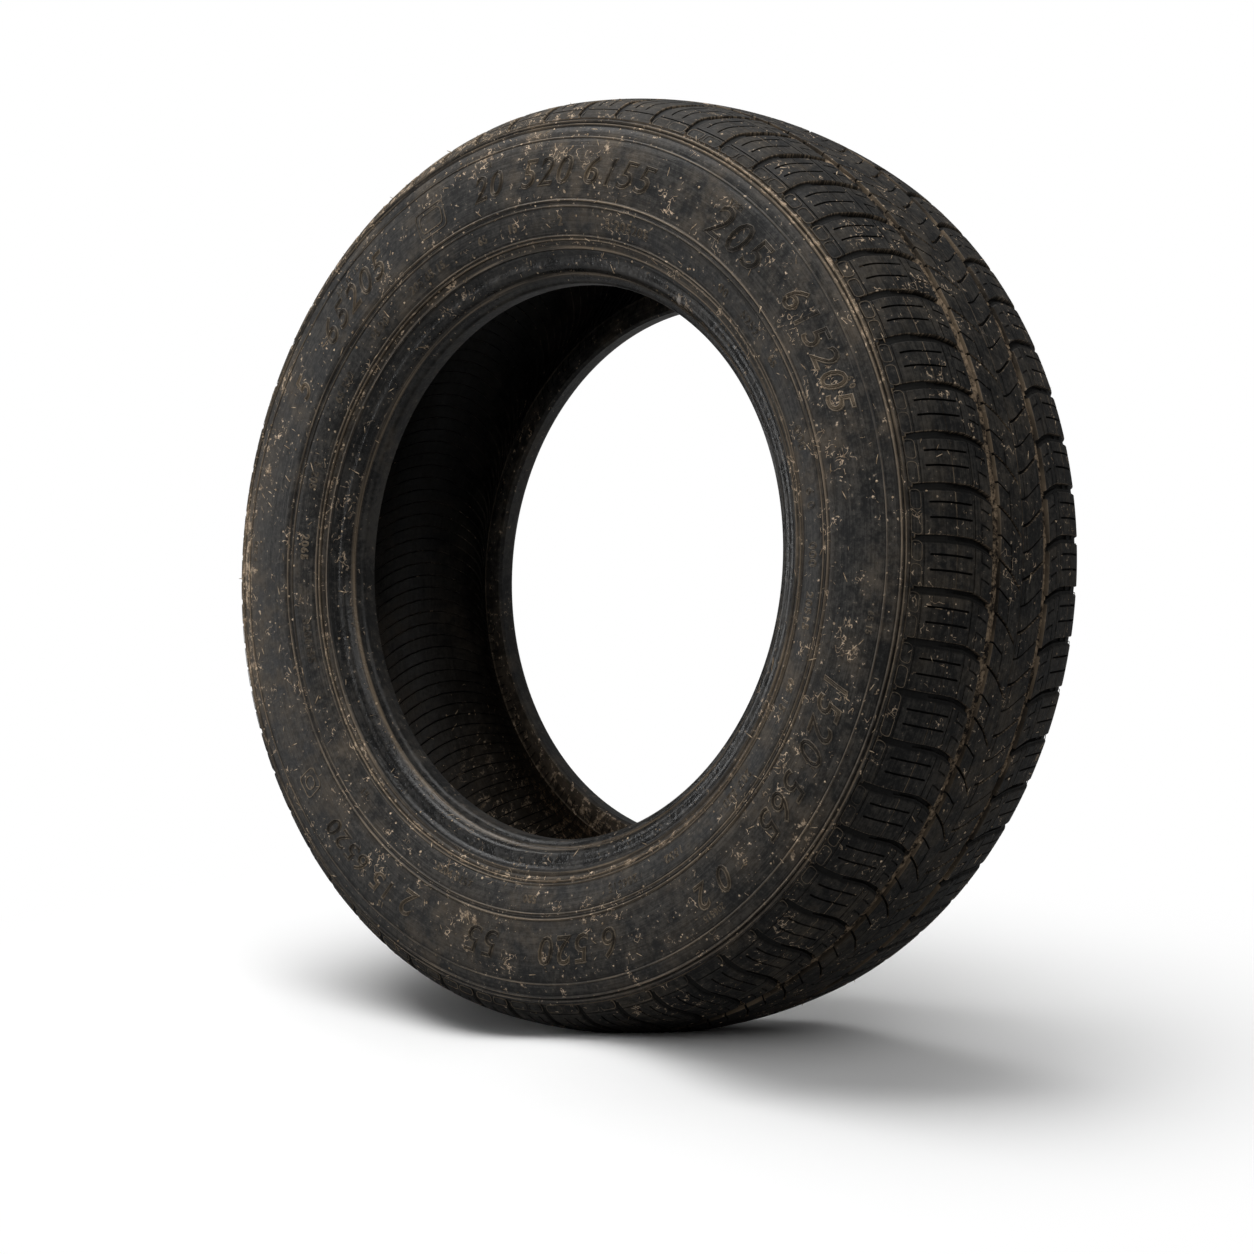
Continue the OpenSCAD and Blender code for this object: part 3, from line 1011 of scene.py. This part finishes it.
def sidewall_marks(side, name):
    marks = Marks(side)
    for angle, text, radius, size in LARGE_NUMBERS:
        marks.number(text, angle, radius, size, 0.55, slant=0.25)
        # each large number is drawn twice: a raised tube, and a nearly black tube set in beside it
        # as the painted shade of a recess
        marks.number(text, angle, radius, size, 0.45, slant=0.25, inset=1.1)
    for k, (angle, text, size) in enumerate(SMALL_NUMBERS):
        marks.number(text, angle, SMALL_NUMBER_R, size, 0.3, upside_down=150 < angle < 260)
        if k % 3 == 0:
            marks.number(text, angle + 14, TINY_NUMBER_R, 6, 0.22)
    for angle, width, height, radius in BOXES:
        marks.outline(width, height, 3.5, angle, radius, 0.5)
    start = PATTERN_TURN + (0 if side > 0 else FAR_LEAD)
    for k in range(PITCH_COUNT):
        for middle, width in PADS:
            turn = (start + (k * PITCH + middle) / TREAD_R) / DEGREE
            # the pads take some painted shade, so they read darker
            marks.outline(width, 6.6, 2.4, turn, PAD_R, 0.28, slant=0.2, hollow=0.4)
    return marks.finish(name)


# ------------------------------
# Liner ribs: low curved lines that the moulding bladder leaves inside
# ------------------------------
def liner_ribs():
    count = 190
    distance = np.linspace(8, inside.end - 6, 21)
    swing = 0.16 * np.sin(np.linspace(0, math.pi, len(distance))) ** 1.5
    places = []
    for side in (1, -1):
        ridge = []
        for width, height in ((-0.0030, -0.6), (0.0, 0.8), (0.0030, -0.6)):
            low, flat_y = inside.at(distance, height)
            turn = side * swing + width
            ridge.append(MM * np.stack([low * np.cos(turn), -side * flat_y,
                                        low * np.sin(turn)], axis=-1))
        places.append(np.stack(ridge, axis=1))
    meshes = [grid_mesh("rib", grid, False, True) for grid in places]
    work = bmesh.new()
    for mesh in meshes:
        work.from_mesh(mesh)
    bmesh.ops.holes_fill(work, edges=work.edges, sides=4)
    bmesh.ops.recalc_face_normals(work, faces=work.faces)
    rib = bpy.data.meshes.new("rib_pair")
    work.to_mesh(rib)
    work.free()
    # the ribs take a little painted shade
    set_values(rib, "hollow", np.full(len(rib.vertices), 0.3))
    mesh = made_by_nodes(link("rib_pair", rib), ring,
                         {"Count": count, "Weld": 0.0, "Material": sidewall_rubber},
                         "liner_ribs")
    smooth(mesh)
    return link("liner_ribs", mesh)


# ------------------------------
# Mud strewn over the outside
# ------------------------------
def crumb(stretch, thickness):
    """A small uneven lump, lying flat, one millimetre in radius."""
    work = bmesh.new()
    bmesh.ops.create_icosphere(work, subdivisions=1, radius=MM)
    random = np.random.default_rng(3)
    for vertex in work.verts:
        vertex.co *= float(random.uniform(0.7, 1.25))
        vertex.co.x *= stretch
        vertex.co.y *= 1 / math.sqrt(stretch)
        vertex.co.z *= thickness
    mesh = bpy.data.meshes.new("crumb")
    work.to_mesh(mesh)
    work.free()
    return link("crumb", mesh)


scatter = scatter_tree()


def strewn_mud(name, grounds, flake, density, smallest, largest, seed):
    """Flakes on the outer faces of several pieces, gathered as one piece."""
    work = bmesh.new()
    for k, ground in enumerate(grounds):
        mesh = ground.data.copy()
        places = places_of(mesh)
        radius = np.hypot(places[:, 0], places[:, 2])
        angle = np.arctan2(places[:, 2], places[:, 0])
        outer = (values_of(mesh, "hollow") < 0.5) & (np.abs(places[:, 1]) > 0.084 * (radius < 0.29))
        clumps = 0.5 + 0.5 * np.sin(7 * angle + 9 * radius / 0.05) * np.sin(3 * angle + 1)
        upper_left = np.clip(np.cos(angle - 2.4), 0, 1)
        settled = outer * (0.25 + 0.9 * clumps ** 2 + 0.6 * upper_left) * (1.0 if k == 0 else 0.5)
        settled *= 1 + 2 * values_of(mesh, "dust_and_painted_light")
        settled[places[:, 2] < FLOOR_Z + 0.002] = 0
        set_values(mesh, "settled", settled)
        made = made_by_nodes(
            link("ground", mesh), scatter,
            {"Flake": flake, "Per square metre": float(density), "Smallest": smallest,
             "Largest": largest, "Seed": seed + k, "Material": mud_crumbs}, name)
        work.from_mesh(made)
        bpy.data.meshes.remove(made)
    mesh = bpy.data.meshes.new(name)
    work.to_mesh(mesh)
    work.free()
    bpy.data.objects.remove(flake)
    mesh.materials.clear()
    mesh.materials.append(mud_crumbs)
    smooth(mesh, 60 * DEGREE)
    return link(name, mesh)


# ------------------------------
# Build the tyre
# ------------------------------
casing = carcass()
casing.data.materials.append(sidewall_rubber)
treads = tread()
pieces = [casing] + treads
pieces.append(packed_mud(1, "packed_mud_near"))
pieces.append(packed_mud(-1, "packed_mud_far"))
pieces.append(sidewall_marks(1, "sidewall_marks_near"))
pieces.append(sidewall_marks(-1, "sidewall_marks_far"))
pieces.append(liner_ribs())
pieces.append(strewn_mud("mud_crumbs", [casing] + treads, crumb(1.0, 0.45), density=5000,
                         smallest=0.25, largest=1.2, seed=5))
pieces.append(strewn_mud("mud_flecks", [casing] + treads, crumb(4.5, 0.3), density=3200,
                         smallest=0.3, largest=1.0, seed=77))
for piece in pieces:
    face_outwards(piece.data)
    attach(piece, "root")
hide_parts("tyre")


# ------------------------------
# Studio: floor, lights and camera
# ------------------------------
def floor():
    """A plane tilted up behind the tyre, with a small level disc where the tyre stands."""
    # away from the camera, seen from above
    facing = np.array([-0.643, 0.766])
    steps = np.concatenate([np.linspace(-9, -0.5, 20), np.linspace(-0.46, 0.46, 47),
                            np.linspace(0.5, 9, 20)])
    ahead, beside = np.meshgrid(steps, steps, indexing="ij")
    away = np.clip((np.hypot(ahead, beside) - 0.055) / 0.12, 0, 1)
    rise = 0.24 * np.clip(ahead, -9, 1.6) * away * away * (3 - 2 * away)
    places = np.stack([ahead * facing[0] - beside * facing[1],
                       ahead * facing[1] + beside * facing[0], FLOOR_Z + rise], axis=-1)
    mesh = grid_mesh("studio_floor", places, False, False)
    smooth(mesh, 180 * DEGREE)
    f = Finish("white_floor")
    tree = f.tree
    seen = tree.nodes.new("ShaderNodeLightPath").outputs["Is Camera Ray"]
    f.set(Base_Color=f.mix(seen, (0.36, 0.36, 0.36, 1), (0.98, 0.98, 0.98, 1)),
          Roughness=0.9, Specular_IOR_Level=0.0)
    glow = f.node("ShaderNodeEmission", {"Color": (1, 1, 1, 1), "Strength": 1.0})
    level = f.node("ShaderNodeVectorMath", {0: f.place, 1: (1, 1, 0)}, operation="MULTIPLY")
    reach = f.node("ShaderNodeVectorMath", {0: level.outputs[0]}, operation="LENGTH")
    share = f.math("MULTIPLY", f.ramp(reach.outputs["Value"], 0.20, 0.60), seen)
    mixed = f.node("ShaderNodeMixShader",
                   {0: share, 1: f.shader.outputs[0], 2: glow.outputs[0]})
    tree.links.new(mixed.outputs[0], tree.nodes["Material Output"].inputs[0])
    mesh.materials.append(f.material)
    link("studio_floor", mesh)


def softbox(name, place, target, size, power):
    light = bpy.data.lights.new(name, "AREA")
    light.shape = "RECTANGLE"
    light.size, light.size_y = size
    light.energy = power
    lamp = link(name, light)
    lamp.location = place
    aim = Vector(target) - Vector(place)
    lamp.rotation_euler = aim.to_track_quat("-Z", "Y").to_euler()


def world():
    made = bpy.data.worlds.new("studio")
    bpy.context.scene.world = made
    made.use_nodes = True
    nodes, links = made.node_tree.nodes, made.node_tree.links
    background = nodes["Background"]
    background.inputs["Color"].default_value = (1, 1, 1, 1)
    background.inputs["Strength"].default_value = 0.20
    bright = nodes.new("ShaderNodeBackground")
    bright.inputs["Color"].default_value = (1, 1, 1, 1)
    seen = nodes.new("ShaderNodeLightPath")
    mixed = nodes.new("ShaderNodeMixShader")
    links.new(seen.outputs["Is Camera Ray"], mixed.inputs[0])
    links.new(background.outputs[0], mixed.inputs[1])
    links.new(bright.outputs[0], mixed.inputs[2])
    links.new(mixed.outputs[0], nodes["World Output"].inputs[0])


def camera():
    """Looks at the tyre from low down, about 40 degrees round from its near side."""
    data = bpy.data.cameras.new("camera")
    data.lens, data.sensor_width, data.sensor_fit = 107.74, 36.0, "HORIZONTAL"
    data.clip_end = 100
    holder = link("camera", data)
    holder.location = (1.6786, -1.9946, -0.2158)
    holder.rotation_euler = (93.822 * DEGREE, 0.842 * DEGREE, 40.321 * DEGREE)
    bpy.context.scene.camera = holder


floor()
world()
camera()
softbox("top_light", (-0.50, -0.5, 2.35), (0, 0, 0), (2.3, 2.3), 76)
softbox("left_light", (-2.2, -1.3, 0.35), (0, 0, 0), (0.35, 1.0), 11)
softbox("right_light", (1.8, -1.0, 1.35), (0, 0, 0), (1.5, 1.5), 15.5)
bpy.context.scene.view_settings.view_transform = "Standard"
